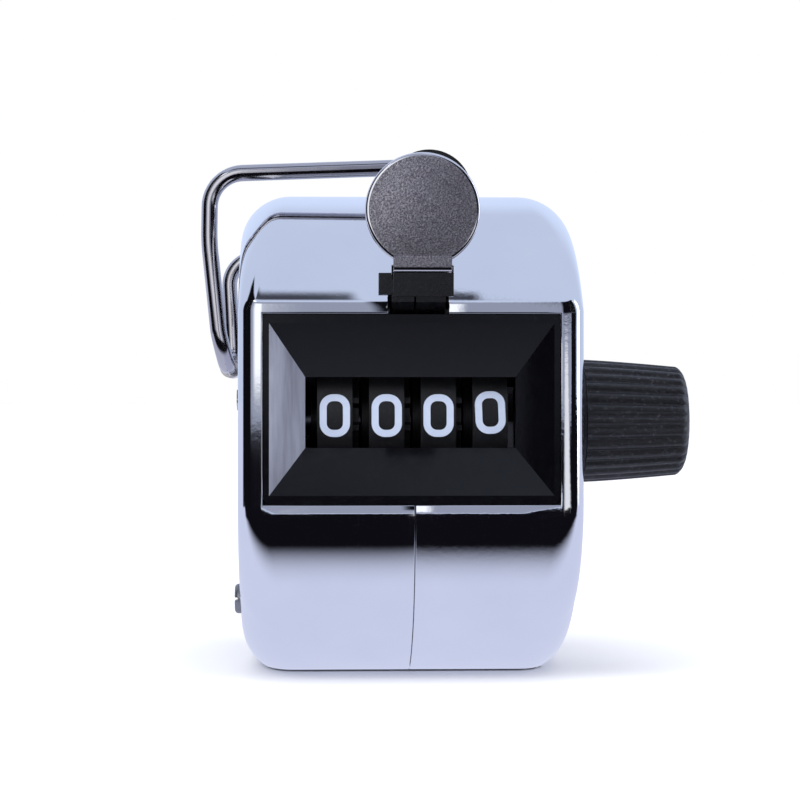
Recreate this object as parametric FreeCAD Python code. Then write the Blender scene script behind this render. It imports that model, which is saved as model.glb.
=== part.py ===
import FreeCAD, Part
import math
import os
from FreeCAD import Vector

# Hand tally counter.  Millimetres.
# X runs along the number-wheel shaft, with the reset knob at +X.  The window faces -Y.  Z is up.
# The origin is the centre of the small flat that the drum-shaped case rests on.

# ---- driving dimensions: case ----
CASE_WIDTH = 33.0
DRUM_RADIUS = 24.5
BASE_CUT = 0.9              # how deep the base flat is cut into the drum
FRONT_Y = -21.0             # plane of the window face
SHEET = 0.8                 # case wall
BEND_RADIUS = 15.0          # soft bend below the window
TOP_EDGE_RADIUS = 2.4       # edge above the window
RIM_RADIUS = 5.2            # rounding between drum and side walls
FRONT_RIM_RADIUS = 2.2      # the same rounding where it passes the window
SEAM_X = 0.3                # the two shells meet here
SEAM_GAP = 0.06

# ---- driving dimensions: number wheels and gearing ----
SHAFT_Y = -6.4
SHAFT_Z = 25.1
SHAFT_RADIUS = 1.5
RUNNING_GAP = 0.05          # radial gap of a running fit
WHEEL_NAMES = ["thousands", "hundreds", "tens", "units"]
WHEEL_PITCH = 5.0
WHEELS_MID_X = 0.25
WHEEL_RADIUS = 10.0
RIM_WIDTH = 3.4
MODULE = 0.8
GEAR_TEETH = 20
PINION_TEETH = 8
PINION_ANGLE = -50.0        # degrees, from the wheel shaft to the pinion shaft, in the YZ plane
PINION_SHAFT_RADIUS = 0.8
PINION_WIDTH = 1.2
SPACER_RADIUS = 1.02
PRESS_GAP = 0.01            # radial gap of a fixed fit

# ---- driving dimensions: reset shaft and ratchet ----
SHAFT_LEFT_X = -14.6
BUSH_RADIUS = 2.6
CLIP_RADIUS = 2.4
CLIP_NECK_RADIUS = 1.1
RATCHET_TEETH = 10
RATCHET_RADIUS = 5.75
RATCHET_ROOT_RADIUS = 4.5
RATCHET_WIDTH = 1.0
WHEEL_HUB_RADIUS = 3.4

# ---- driving dimensions: window ----
WINDOW_WIDTH = 28.2
WINDOW_HEIGHT = 18.1
WINDOW_Z = 26.3
WINDOW_CORNER = 0.8
SIGHT_WIDTH = 20.2          # slot that the digits show through
SIGHT_HEIGHT = 6.8
SIGHT_Z = 26.0
BEVEL_DEPTH = 3.5

# ---- driving dimensions: thumb lever ----
PIVOT_Y = -16.5
PIVOT_Z = 33.8
PIVOT_RADIUS = 1.0
HUB_RADIUS = 1.7
HUB_LEFT_X = -2.3
EYE_RADIUS = 2.2
STEM_HALF_WIDTH = 0.78
STEM_GAP_X = (0.13, 0.31)   # the gap between the two stems
STEM_LEFT_X = -1.94
STEM_RIGHT_X = 3.1
BLOCK_X = (-1.85, 3.8)
BLOCK_FRONT_Y = -23.2
BLOCK_BACK_Y = -21.3
BLOCK_LOW_Z = 36.9
BLOCK_HIGH_Z = 39.1
TAB_LEFT_X = -3.2
WEB_X = (-0.6, 3.4)
WEB_FRONT_Y = -22.55
BACKING_RADIUS = 4.0
BACKING_X = 1.55
BACKING_Z = 46.7
PAD_RADIUS = 5.4
PAD_THICKNESS = 0.9
PAD_X = 0.9
PAD_Z = 45.0
PAD_FRONT_Y = -23.6
NECK_X = (-1.8, 3.7)
NECK_THICKNESS = 0.6
LEVER_SLOT_X = (-2.25, 3.45)
LEVER_SLOT_BACK_Y = -18.8
LEVER_SLOT_HIGH_Z = 39.3
RETURN_SPRING_X = 4.2
RETURN_SPRING_LENGTH = 5.0

# ---- driving dimensions: pawls ----
ARM_X = 10.8
PAWL_X = 9.75
PAWL_THICKNESS = 0.7
PAWL_PIN = (0.3, 33.8)      # (y, z)
DETENT_PIN = (-13.4, 17.6)  # (y, z)
PAWL_PIN_RADIUS = 0.6

# ---- driving dimensions: knob ----
KNOB_START_X = 16.85
KNOB_LENGTH = 11.3
COLLAR_LENGTH = 1.7
COLLAR_RADIUS = 6.2
KNOB_RADIUS = 6.05
KNOB_TIP_RADIUS = 5.4
KNOB_END_ROUND = 0.7
FLUTES = 32
FLUTE_RADIUS = 0.3
KNOB_BORE_DEPTH = 7.0

# ---- driving dimensions: finger ring ----
RING_WIRE_RADIUS = 0.82
RING_HINGE_X = -18.0
RING_HINGE_Z = 30.7
RING_NEAR_Y = -7.5
RING_FAR_Y = 16.0
RING_RIGHT_X = 3.0
LUG_Y = (6.2, 13.2)
LUG_BARREL_RADIUS = 1.17
LUG_STRAP = 0.4
LUG_LOW_Z = 25.4
LUG_RIVET_RADIUS = 0.6
LUG_RIVET_HEAD_RADIUS = 1.1
LUG_RIVET_PLACES = [(7.9, 27.2), (11.5, 27.2)]      # (y, z)

# ---- driving dimensions: frame and fasteners ----
PLATE_THICKNESS = 0.8
PLATE_MARGIN = 2.3
LEFT_PLATE_X = -12.2
RIGHT_PLATE_X = 12.6
POST_PLACES = [(-5.5, 7.2), (12.0, 12.0), (9.0, 37.0)]      # (y, z)
POST_RADIUS = 1.6
SCREW_RADIUS = 0.8
SCREW_HEAD_RADIUS = 1.5
SCREW_HEAD_HEIGHT = 0.7
TIE_RADIUS = 1.1
TIE_END_RADIUS = 0.8
TIE_PLACES = [(9.2, 22.0), (1.5, 36.4)]     # (y, z)

# ---- worked out from the above ----
DRUM_Z = DRUM_RADIUS - BASE_CUT
HALF_WIDTH = CASE_WIDTH / 2
INNER_HALF = HALF_WIDTH - SHEET
PINION_DISTANCE = MODULE * (GEAR_TEETH + PINION_TEETH) / 2
PINION_Y = SHAFT_Y + PINION_DISTANCE * math.cos(math.radians(PINION_ANGLE))
PINION_Z = SHAFT_Z + PINION_DISTANCE * math.sin(math.radians(PINION_ANGLE))
WHEEL_X = [WHEELS_MID_X + WHEEL_PITCH * (place - 1.5) for place in range(4)]
UNITS_FACE_X = WHEEL_X[3] + RIM_WIDTH / 2
X_AXIS = Vector(1, 0, 0)

parts = {}


# ---------------------------------------------------------------- small helpers

def box(x0, x1, y0, y1, z0, z1):
    """Box between two corners."""
    return Part.makeBox(x1 - x0, y1 - y0, z1 - z0, Vector(x0, y0, z0))


def rod(x0, x1, y, z, radius):
    """Round bar along X."""
    return Part.makeCylinder(radius, x1 - x0, Vector(x0, y, z), X_AXIS)


def tube(x0, x1, y, z, outer, inner):
    """Tube along X."""
    return rod(x0, x1, y, z, outer).cut(rod(x0 - 1, x1 + 1, y, z, inner))


def extrude_yz(points, x0, x1):
    """Plate with straight sides: (y, z) corners, from x0 to x1."""
    wire = Part.makePolygon([Vector(x0, y, z) for y, z in points + points[:1]])
    return Part.Face(wire).extrude(Vector(x1 - x0, 0, 0))


def bar_yz(start, end, radius, x0, x1):
    """Flat bar with round ends between two (y, z) places, from x0 to x1."""
    length = math.hypot(end[0] - start[0], end[1] - start[1])
    across = ((start[1] - end[1]) / length * radius, (end[0] - start[0]) / length * radius)
    corners = [(start[0] + across[0], start[1] + across[1]), (end[0] + across[0], end[1] + across[1]),
               (end[0] - across[0], end[1] - across[1]), (start[0] - across[0], start[1] - across[1])]
    middle = extrude_yz(corners, x0, x1)
    ends = [rod(x0, x1, y, z, radius) for y, z in (start, end)]
    return middle.multiFuse(ends).removeSplitter()


def turn_x(shape, degrees, y, z):
    """Turned copy about an X-wise axis."""
    copy = shape.copy()
    copy.rotate(Vector(0, y, z), X_AXIS, degrees)
    return copy


def coil_x(x0, length, y, z, radius, wire, turns):
    """Coil spring with its axis along X: each turn is a flat half ring and a slanted half ring."""
    pitch = length / turns
    across = Vector(0, 1, 0)
    halves = []
    for turn in range(turns):
        x = x0 + turn * pitch
        top = Vector(x, y, z + radius)
        section = Part.Face(Part.Wire(Part.makeCircle(wire, top, across)))
        halves.append(section.revolve(Vector(x, y, z), X_AXIS, 180))
        low = Vector(x, y, z - radius)
        next_top = Vector(x + pitch, y, z + radius)
        section = Part.Face(Part.Wire(Part.makeCircle(wire, low, across)))
        slant = across.cross(low - next_top)
        halves.append(section.revolve((low + next_top) / 2, slant, -180))
    return halves[0].multiFuse(halves[1:])


def keep(name, shape):
    """Store one finished piece under its node name."""
    parts[name] = shape


# ---------------------------------------------------------------- case shells

def drum_point(radius, towards):
    """Point on a circle about the drum axis, in the direction of a (y, z) offset."""
    size = math.hypot(towards[0], towards[1])
    return (radius * towards[0] / size, DRUM_Z + radius * towards[1] / size)


def arc_edge(x, centre, radius, start, end):
    """Arc edge between two (y, z) points on one circle, the short way round."""
    middle = ((start[0] + end[0]) / 2 - centre[0], (start[1] + end[1]) / 2 - centre[1])
    size = math.hypot(middle[0], middle[1])
    via = (centre[0] + radius * middle[0] / size, centre[1] + radius * middle[1] / size)
    ends = [Vector(x, point[0], point[1]) for point in (start, via, end)]
    return Part.Arc(ends[0], ends[1], ends[2]).toShape()


def drum_solid(inset):
    """Whole case body, or the space inside it when inset is the sheet thickness."""
    radius = DRUM_RADIUS - inset
    front = FRONT_Y + inset
    x = -HALF_WIDTH + inset
    bend = (FRONT_Y + BEND_RADIUS,
            DRUM_Z - math.sqrt((DRUM_RADIUS - BEND_RADIUS) ** 2 - (FRONT_Y + BEND_RADIUS) ** 2))
    edge = (FRONT_Y + TOP_EDGE_RADIUS,
            DRUM_Z + math.sqrt((DRUM_RADIUS - TOP_EDGE_RADIUS) ** 2 - (FRONT_Y + TOP_EDGE_RADIUS) ** 2))
    face_low = (front, bend[1])
    face_high = (front, edge[1])
    edge_end = drum_point(radius, (edge[0], edge[1] - DRUM_Z))
    bend_start = drum_point(radius, (bend[0], bend[1] - DRUM_Z))
    crown = (0.0, DRUM_Z + radius)
    outline = [
        Part.LineSegment(Vector(x, *face_low), Vector(x, *face_high)).toShape(),
        arc_edge(x, edge, TOP_EDGE_RADIUS - inset, face_high, edge_end),
        arc_edge(x, (0.0, DRUM_Z), radius, edge_end, crown),
        Part.Arc(Vector(x, *crown), Vector(x, radius, DRUM_Z), Vector(x, *bend_start)).toShape(),
        arc_edge(x, bend, BEND_RADIUS - inset, bend_start, face_low),
    ]
    body = Part.Face(Part.Wire(outline)).extrude(Vector(CASE_WIDTH - 2 * inset, 0, 0))
    body = round_rims(body, inset, [crown, bend_start])
    base = box(-HALF_WIDTH, HALF_WIDTH, -DRUM_RADIUS, DRUM_RADIUS, -DRUM_RADIUS, inset)
    return body.cut(base)


def round_rims(body, inset, wide_places):
    """Round both rims: wide over the drum, narrower beside the window, blending along the arcs."""
    document = FreeCAD.newDocument()
    base = document.addObject("Part::Feature", "Base")
    base.Shape = body
    rounded = document.addObject("Part::Fillet", "Rounded")
    rounded.Base = base

    def radius_at(vertex_point):
        for place in wide_places:
            if math.hypot(vertex_point.y - place[0], vertex_point.z - place[1]) < 0.01:
                return RIM_RADIUS - inset
        return FRONT_RIM_RADIUS - inset

    rims = []
    for number, rim in enumerate(body.Edges, 1):
        if rim.BoundBox.XLength < 0.001:
            start = radius_at(rim.valueAt(rim.FirstParameter))
            end = radius_at(rim.valueAt(rim.LastParameter))
            rims.append((number, start, end))
    rounded.Edges = rims
    document.recompute()
    shape = rounded.Shape.copy()
    FreeCAD.closeDocument(document.Name)
    return shape


def lever_slot():
    """Slot over the top front edge that the lever's two stems come out of."""
    low_z = WINDOW_Z + WINDOW_HEIGHT / 2 + 0.05
    return box(*LEVER_SLOT_X, FRONT_Y - 1, LEVER_SLOT_BACK_Y, low_z, LEVER_SLOT_HIGH_Z)


def make_case():
    shell = drum_solid(0.0).cut(drum_solid(SHEET))
    window = box(-WINDOW_WIDTH / 2, WINDOW_WIDTH / 2, FRONT_Y - 1, FRONT_Y + 3,
                 WINDOW_Z - WINDOW_HEIGHT / 2, WINDOW_Z + WINDOW_HEIGHT / 2)
    upright = [edge for edge in window.Edges if edge.BoundBox.YLength > 3]
    shell = shell.cut(window.makeFillet(WINDOW_CORNER, upright))
    shell = shell.cut(lever_slot())
    shell = shell.cut(rod(INNER_HALF - 1, HALF_WIDTH + 1, SHAFT_Y, SHAFT_Z, BUSH_RADIUS))
    for y, z in POST_PLACES:
        shell = shell.cut(rod(-HALF_WIDTH - 1, -INNER_HALF + 1, y, z, SCREW_RADIUS + 0.1))
    for y, z in LUG_RIVET_PLACES:
        shell = shell.cut(rod(-HALF_WIDTH - 1, -INNER_HALF + 1, y, z, LUG_RIVET_RADIUS + 0.02))
    far = 2 * DRUM_RADIUS
    left = box(-far, SEAM_X - SEAM_GAP / 2, -far, far, -far, far)
    right = box(SEAM_X + SEAM_GAP / 2, far, -far, far, -far, far)
    keep("left_case_shell", shell.common(left))
    keep("right_case_shell", shell.common(right))


# ---------------------------------------------------------------- window bezel

def frame_wire(width, height, y, mid_z):
    """Rectangle facing -Y, as a wire for a loft."""
    corners = [(-width / 2, -height / 2), (width / 2, -height / 2),
               (width / 2, height / 2), (-width / 2, height / 2)]
    points = [Vector(x, y, mid_z + z) for x, z in corners]
    return Part.makePolygon(points + points[:1])


def funnel(front_size, front_y, back_size, back_y):
    """Solid between two rectangles, each (width, height, middle z)."""
    front = frame_wire(front_size[0], front_size[1], front_y, front_size[2])
    back = frame_wire(back_size[0], back_size[1], back_y, back_size[2])
    return Part.makeLoft([front, back], True, True)


def make_bezel():
    gap = 0.06
    face_y = FRONT_Y + 0.15
    lip = 0.7
    back_y = FRONT_Y + BEVEL_DEPTH + 0.6
    frame = box(-WINDOW_WIDTH / 2 + gap, WINDOW_WIDTH / 2 - gap, face_y, FRONT_Y + SHEET + 0.05,
                WINDOW_Z - WINDOW_HEIGHT / 2 + gap, WINDOW_Z + WINDOW_HEIGHT / 2 - gap)
    upright = [edge for edge in frame.Edges if edge.BoundBox.XLength + edge.BoundBox.ZLength < 0.01]
    frame = frame.makeFillet(WINDOW_CORNER - 0.05, upright)
    flange = box(-WINDOW_WIDTH / 2 - 0.4, WINDOW_WIDTH / 2 + 0.4, FRONT_Y + SHEET + 0.04, FRONT_Y + 1.5,
                 WINDOW_Z - WINDOW_HEIGHT / 2 - 0.4, WINDOW_Z + WINDOW_HEIGHT / 2 + 0.4)
    stem_room = box(LEVER_SLOT_X[0] - 0.35, LEVER_SLOT_X[1] + 0.35, FRONT_Y, FRONT_Y + 2,
                    WINDOW_Z + WINDOW_HEIGHT / 2 - 0.9, LEVER_SLOT_HIGH_Z)
    flange = flange.cut(stem_room)
    outer = funnel((WINDOW_WIDTH - 0.4, WINDOW_HEIGHT - 1.0, WINDOW_Z), FRONT_Y + SHEET,
                   (SIGHT_WIDTH + 2 * lip, SIGHT_HEIGHT + 2 * lip, SIGHT_Z), back_y)
    solid = frame.multiFuse([flange, outer])
    inner = funnel((WINDOW_WIDTH - 1.2, WINDOW_HEIGHT - 1.8, WINDOW_Z), face_y,
                   (SIGHT_WIDTH, SIGHT_HEIGHT, SIGHT_Z), FRONT_Y + BEVEL_DEPTH)
    sight = box(-SIGHT_WIDTH / 2, SIGHT_WIDTH / 2, FRONT_Y + BEVEL_DEPTH - 0.1, back_y + 1,
                SIGHT_Z - SIGHT_HEIGHT / 2, SIGHT_Z + SIGHT_HEIGHT / 2)
    keep("window_bezel", solid.cut(inner).cut(sight).removeSplitter())


# ---------------------------------------------------------------- gears and wheels

def gear_outline(teeth, tip, root, width_at_tip, width_at_root):
    """Corner points of a spur gear with straight-sided teeth; widths are degrees of arc."""
    points = []
    for tooth in range(teeth):
        middle = 360.0 / teeth * tooth
        for radius, offset in ((root, -width_at_root / 2), (tip, -width_at_tip / 2),
                               (tip, width_at_tip / 2), (root, width_at_root / 2)):
            angle = math.radians(middle + offset)
            points.append((radius * math.cos(angle), radius * math.sin(angle)))
    return points


def gear(teeth, tip, root, tip_degrees, root_degrees, x0, x1, y, z, turn):
    """Spur gear about an X-wise axis; turn sets where its first tooth points."""
    outline = gear_outline(teeth, tip, root, tip_degrees, root_degrees)
    shape = extrude_yz([(y + a, z + b) for a, b in outline], x0, x1)
    return turn_x(shape, turn, y, z)


def wheel_body(x):
    """Rim, web and hub of one number wheel."""
    half = RIM_WIDTH / 2
    rim = tube(x - half, x + half, SHAFT_Y, SHAFT_Z, WHEEL_RADIUS, WHEEL_RADIUS - 1.0)
    web = rod(x - 0.6, x + 0.6, SHAFT_Y, SHAFT_Z, WHEEL_RADIUS - 0.9)
    hub = rod(x - 2.3, x + 2.35, SHAFT_Y, SHAFT_Z, WHEEL_HUB_RADIUS)
    return rim.multiFuse([web, hub])


def carry_sector(x):
    """Two-tooth carry sector on a wheel's left side."""
    disc = rod(x - 2.3, x - 0.5, SHAFT_Y, SHAFT_Z, 5.4)
    teeth = []
    for side in (-9.0, 9.0):
        tooth = box(x - 2.3, x - 1.7, SHAFT_Y, SHAFT_Y + 7.0, SHAFT_Z - 0.45, SHAFT_Z + 0.45)
        teeth.append(turn_x(tooth, PINION_ANGLE + 180 + side, SHAFT_Y, SHAFT_Z))
    return disc.multiFuse(teeth)


def reset_pocket(x):
    """Pocket in a hub for the small reset pawl."""
    return box(x - 0.5, x + 0.5, SHAFT_Y - 0.8, SHAFT_Y + 0.8, SHAFT_Z, SHAFT_Z + 3.0)


def make_wheels():
    """Four number wheels; the gear is on the left-hand side of a carry, the sector on the right."""
    for name, x in zip(WHEEL_NAMES, WHEEL_X):
        body = wheel_body(x)
        if name != "units":
            body = body.fuse(gear(GEAR_TEETH, 8.5, 7.2, 3.6, 7.4, x + 1.7, x + 2.35,
                                  SHAFT_Y, SHAFT_Z, PINION_ANGLE))
            body = body.fuse(tube(x + 0.5, x + 1.75, SHAFT_Y, SHAFT_Z, 7.4, 5.0))
            body = body.fuse(tube(x + 1.6, x + 2.35, SHAFT_Y, SHAFT_Z, 7.3, 3.0))
        if name != "thousands":
            body = body.fuse(carry_sector(x))
        body = body.cut(rod(x - 5, x + 5, SHAFT_Y, SHAFT_Z, SHAFT_RADIUS + RUNNING_GAP))
        body = body.cut(reset_pocket(x))
        keep(name + "_wheel", body.removeSplitter())
        pawl = box(x - 0.45, x + 0.45, SHAFT_Y - 0.75, SHAFT_Y + 0.75,
                   SHAFT_Z + SHAFT_RADIUS + RUNNING_GAP + 0.1, SHAFT_Z + 2.95)
        keep(name + "_reset_pawl", pawl)


def make_pinions():
    """Three transfer pinions between the wheels, each with its own hub."""
    for name, x in zip(WHEEL_NAMES[:3], WHEEL_X):
        half_tooth = 180.0 / PINION_TEETH
        shape = gear(PINION_TEETH, 3.72, 2.2, 11.0, 26.0, x + 1.9, x + 1.9 + PINION_WIDTH,
                     PINION_Y, PINION_Z, PINION_ANGLE + 180 + half_tooth)
        shape = shape.cut(rod(x, x + 5, PINION_Y, PINION_Z, PINION_SHAFT_RADIUS + RUNNING_GAP))
        keep(name + "_transfer_pinion", shape)
    spacers = []
    ends = [LEFT_PLATE_X + PLATE_THICKNESS] + [x + 1.9 + PINION_WIDTH for x in WHEEL_X[:3]]
    starts = [x + 1.9 for x in WHEEL_X[:3]] + [RIGHT_PLATE_X]
    for x0, x1 in zip(ends, starts):
        spacers.append(tube(x0 + 0.1, x1 - 0.1, PINION_Y, PINION_Z, SPACER_RADIUS,
                            PINION_SHAFT_RADIUS + PRESS_GAP))
    keep("pinion_spacers", Part.makeCompound(spacers))
    keep("pinion_shaft", rod(LEFT_PLATE_X - 0.6, RIGHT_PLATE_X + PLATE_THICKNESS + 0.6,
                             PINION_Y, PINION_Z, PINION_SHAFT_RADIUS))


def make_ratchet():
    """Ten-tooth ratchet pressed onto the right side of the units wheel."""
    points = []
    for tooth in range(RATCHET_TEETH):
        steep = math.radians(360.0 / RATCHET_TEETH * tooth)
        for radius in (RATCHET_RADIUS, RATCHET_ROOT_RADIUS):
            points.append((SHAFT_Y + radius * math.cos(steep), SHAFT_Z + radius * math.sin(steep)))
    disc = extrude_yz(points, UNITS_FACE_X, UNITS_FACE_X + RATCHET_WIDTH)
    hub_hole = rod(UNITS_FACE_X - 1, UNITS_FACE_X + 3, SHAFT_Y, SHAFT_Z, WHEEL_HUB_RADIUS + 0.02)
    keep("units_ratchet", disc.cut(hub_hole))


# ---------------------------------------------------------------- reset shaft and knob

def make_reset_shaft():
    shaft = rod(SHAFT_LEFT_X, KNOB_START_X + KNOB_BORE_DEPTH, SHAFT_Y, SHAFT_Z, SHAFT_RADIUS)
    groove = box(LEFT_PLATE_X + 2.0, RIGHT_PLATE_X - 1.4, SHAFT_Y - 0.4, SHAFT_Y + 0.4,
                 SHAFT_Z + SHAFT_RADIUS - 0.5, SHAFT_Z + SHAFT_RADIUS + 1)
    clip_neck = tube(SHAFT_LEFT_X + 0.6, SHAFT_LEFT_X + 1.2, SHAFT_Y, SHAFT_Z,
                     SHAFT_RADIUS + 0.1, CLIP_NECK_RADIUS)
    keep("reset_shaft", shaft.cut(groove).cut(knob_flat(0.0)).cut(clip_neck))
    clip = tube(SHAFT_LEFT_X + 0.65, SHAFT_LEFT_X + 1.15, SHAFT_Y, SHAFT_Z,
                CLIP_RADIUS, CLIP_NECK_RADIUS + PRESS_GAP)
    mouth = box(SHAFT_LEFT_X, SHAFT_LEFT_X + 2, SHAFT_Y - 0.9, SHAFT_Y + 0.9, SHAFT_Z - 3, SHAFT_Z)
    keep("shaft_clip", clip.cut(mouth))
    bush_ends = [(LEFT_PLATE_X - 0.6, LEFT_PLATE_X + PLATE_THICKNESS + 0.4),
                 (RIGHT_PLATE_X - 0.4, HALF_WIDTH + 0.1)]
    bushes = [tube(x0, x1, SHAFT_Y, SHAFT_Z, BUSH_RADIUS - 0.02, SHAFT_RADIUS + RUNNING_GAP)
              for x0, x1 in bush_ends]
    keep("shaft_bushes", Part.makeCompound(bushes))


def knob_flat(gap):
    """Space over the flat on the shaft's end, which keeps the knob from turning on the shaft."""
    flat_z = SHAFT_Z + 0.73 * SHAFT_RADIUS + gap
    return box(KNOB_START_X + 1.0, KNOB_START_X + KNOB_BORE_DEPTH + 1, SHAFT_Y - 2, SHAFT_Y + 2,
               flat_z, SHAFT_Z + SHAFT_RADIUS + 0.5)


def knob_profile():
    """Half section of the knob, in (x, radius): collar, tapering grip, rounded end."""
    end = KNOB_START_X + KNOB_LENGTH
    grip_x = KNOB_START_X + COLLAR_LENGTH
    points = [(KNOB_START_X, 0), (KNOB_START_X, COLLAR_RADIUS), (grip_x, COLLAR_RADIUS),
              (grip_x, KNOB_RADIUS), (end - KNOB_END_ROUND, KNOB_TIP_RADIUS),
              (end - 0.3 * KNOB_END_ROUND, KNOB_TIP_RADIUS - 0.3 * KNOB_END_ROUND),
              (end, KNOB_TIP_RADIUS - KNOB_END_ROUND), (end, 0)]
    return [Vector(x, SHAFT_Y, SHAFT_Z + r) for x, r in points]


def make_knob():
    points = knob_profile()
    face = Part.Face(Part.makePolygon(points + points[:1]))
    knob = face.revolve(Vector(0, SHAFT_Y, SHAFT_Z), X_AXIS, 360)
    grip_start = Vector(KNOB_START_X + COLLAR_LENGTH, SHAFT_Y, SHAFT_Z + KNOB_RADIUS)
    taper = Vector(KNOB_LENGTH - COLLAR_LENGTH, 0, KNOB_TIP_RADIUS - KNOB_RADIUS)
    groove = Part.makeCylinder(FLUTE_RADIUS, KNOB_LENGTH, grip_start, taper)
    flutes = [turn_x(groove, 360.0 / FLUTES * flute, SHAFT_Y, SHAFT_Z) for flute in range(FLUTES)]
    bore = rod(KNOB_START_X - 1, KNOB_START_X + KNOB_BORE_DEPTH + 0.1, SHAFT_Y, SHAFT_Z,
               SHAFT_RADIUS + PRESS_GAP)
    bore = bore.cut(knob_flat(PRESS_GAP))
    keep("reset_knob", knob.cut(Part.makeCompound(flutes)).cut(bore))


# ---------------------------------------------------------------- mechanism frame

def make_frame_plates():
    """Two side plates that carry the shafts."""
    corners = [(PIVOT_Y, PIVOT_Z)] + [POST_PLACES[2], POST_PLACES[1], POST_PLACES[0]]
    for name, x in (("left_frame_plate", LEFT_PLATE_X), ("right_frame_plate", RIGHT_PLATE_X)):
        x1 = x + PLATE_THICKNESS
        plate = extrude_yz(corners, x, x1)
        for index, corner in enumerate(corners):
            plate = plate.fuse(bar_yz(corner, corners[(index + 1) % 4], PLATE_MARGIN, x, x1))
        holes = [rod(x - 1, x1 + 1, SHAFT_Y, SHAFT_Z, BUSH_RADIUS),
                 rod(x - 1, x1 + 1, PINION_Y, PINION_Z, PINION_SHAFT_RADIUS + PRESS_GAP),
                 rod(x - 1, x1 + 1, PIVOT_Y, PIVOT_Z, PIVOT_RADIUS + PRESS_GAP),
                 rod(x - 1, x1 + 1, *DETENT_PIN, PAWL_PIN_RADIUS + PRESS_GAP),
                 rod(x - 1, x1 + 1, 5.5, 26.0, 4.2),
                 box(x - 1, x1 + 1, -DRUM_RADIUS, FRONT_Y + BEVEL_DEPTH + 0.1, 0, SIGHT_Z + 6.3)]
        holes += [rod(x - 1, x1 + 1, y, z, POST_RADIUS + 0.02) for y, z in POST_PLACES]
        holes += [rod(x - 1, x1 + 1, y, z, TIE_END_RADIUS + PRESS_GAP) for y, z in TIE_PLACES]
        keep(name, plate.removeSplitter().cut(Part.makeCompound(holes)))


def make_posts_and_screws():
    posts = []
    screws = []
    for y, z in POST_PLACES:
        post = rod(-INNER_HALF + PRESS_GAP, INNER_HALF - PRESS_GAP, y, z, POST_RADIUS)
        thread = rod(-INNER_HALF - 1, -INNER_HALF + 7, y, z, SCREW_RADIUS + PRESS_GAP)
        posts.append(post.cut(thread))
        shank = rod(-HALF_WIDTH - 0.05, -INNER_HALF + 6, y, z, SCREW_RADIUS)
        head = rod(-HALF_WIDTH - SCREW_HEAD_HEIGHT, -HALF_WIDTH - PRESS_GAP, y, z, SCREW_HEAD_RADIUS)
        outer_rim = [edge for edge in head.Edges if edge.BoundBox.ZLength > 2
                     and edge.BoundBox.XMax < -HALF_WIDTH - 0.6]
        head = head.makeFillet(0.4, outer_rim)
        slot = box(-HALF_WIDTH - 1, -HALF_WIDTH - 0.4, y - 2, y + 2, z - 0.2, z + 0.2)
        screws.append(head.fuse(shank).cut(slot))
    keep("case_posts", Part.makeCompound(posts))
    keep("case_screws", Part.makeCompound(screws))
    ties = []
    for y, z in TIE_PLACES:
        middle = rod(LEFT_PLATE_X + PLATE_THICKNESS + PRESS_GAP, RIGHT_PLATE_X - PRESS_GAP, y, z, TIE_RADIUS)
        thin = rod(LEFT_PLATE_X - 0.4, RIGHT_PLATE_X + PLATE_THICKNESS + 0.4, y, z, TIE_END_RADIUS)
        ties.append(middle.fuse(thin))
    keep("frame_tie_rods", Part.makeCompound(ties))


# ---------------------------------------------------------------- thumb lever

def stem(x0, x1):
    """Stem from the block, through the case slot, to an eye around the lever hub."""
    bar = bar_yz((-21.9, 37.25), (PIVOT_Y - 0.3, PIVOT_Z + 0.75), STEM_HALF_WIDTH, x0, x1)
    foot = box(x0, x1, -22.6, BLOCK_BACK_Y - 0.1, BLOCK_LOW_Z - 0.5, BLOCK_LOW_Z)
    eye = rod(x0, x1, PIVOT_Y, PIVOT_Z, EYE_RADIUS)
    hole = rod(x0 - 1, x1 + 1, PIVOT_Y, PIVOT_Z, HUB_RADIUS + PRESS_GAP)
    return bar.multiFuse([foot, eye]).cut(hole).cut(block_space()).removeSplitter()


def block_space():
    """Room taken by the black block, which the stems stop under."""
    return box(-4, 5, BLOCK_FRONT_Y - 1, BLOCK_BACK_Y + 0.4, BLOCK_LOW_Z, BLOCK_HIGH_Z + 1)


def make_hub_arm():
    """Hub tube on the pivot shaft, with the arm that carries the drive pawl."""
    hub = tube(HUB_LEFT_X, ARM_X + PLATE_THICKNESS, PIVOT_Y, PIVOT_Z, HUB_RADIUS,
               PIVOT_RADIUS + RUNNING_GAP)
    arm = bar_yz((PIVOT_Y, PIVOT_Z), PAWL_PIN, 1.5, ARM_X, ARM_X + PLATE_THICKNESS)
    arm = arm.cut(rod(ARM_X - 1, ARM_X + 2, PIVOT_Y, PIVOT_Z, PIVOT_RADIUS + RUNNING_GAP))
    arm = arm.cut(rod(ARM_X - 1, ARM_X + 2, *PAWL_PIN, PAWL_PIN_RADIUS + PRESS_GAP))
    keep("lever_hub_arm", hub.fuse(arm).removeSplitter())


def make_lever_head():
    """Black block with its side tab, and the web and round backing behind the pad."""
    block = box(*BLOCK_X, BLOCK_FRONT_Y, BLOCK_BACK_Y, BLOCK_LOW_Z, BLOCK_HIGH_Z)
    tab = box(TAB_LEFT_X, BLOCK_X[0] + 0.05, BLOCK_FRONT_Y + 0.3, BLOCK_BACK_Y,
              BLOCK_LOW_Z + 0.15, BLOCK_HIGH_Z)
    web = box(*WEB_X, WEB_FRONT_Y, BLOCK_BACK_Y, BLOCK_HIGH_Z - 0.1, PAD_Z)
    backing = Part.makeCylinder(BACKING_RADIUS, BLOCK_BACK_Y - WEB_FRONT_Y,
                                Vector(BACKING_X, WEB_FRONT_Y, BACKING_Z), Vector(0, 1, 0))
    keep("lever_head", block.multiFuse([tab, web, backing]).removeSplitter())


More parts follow.
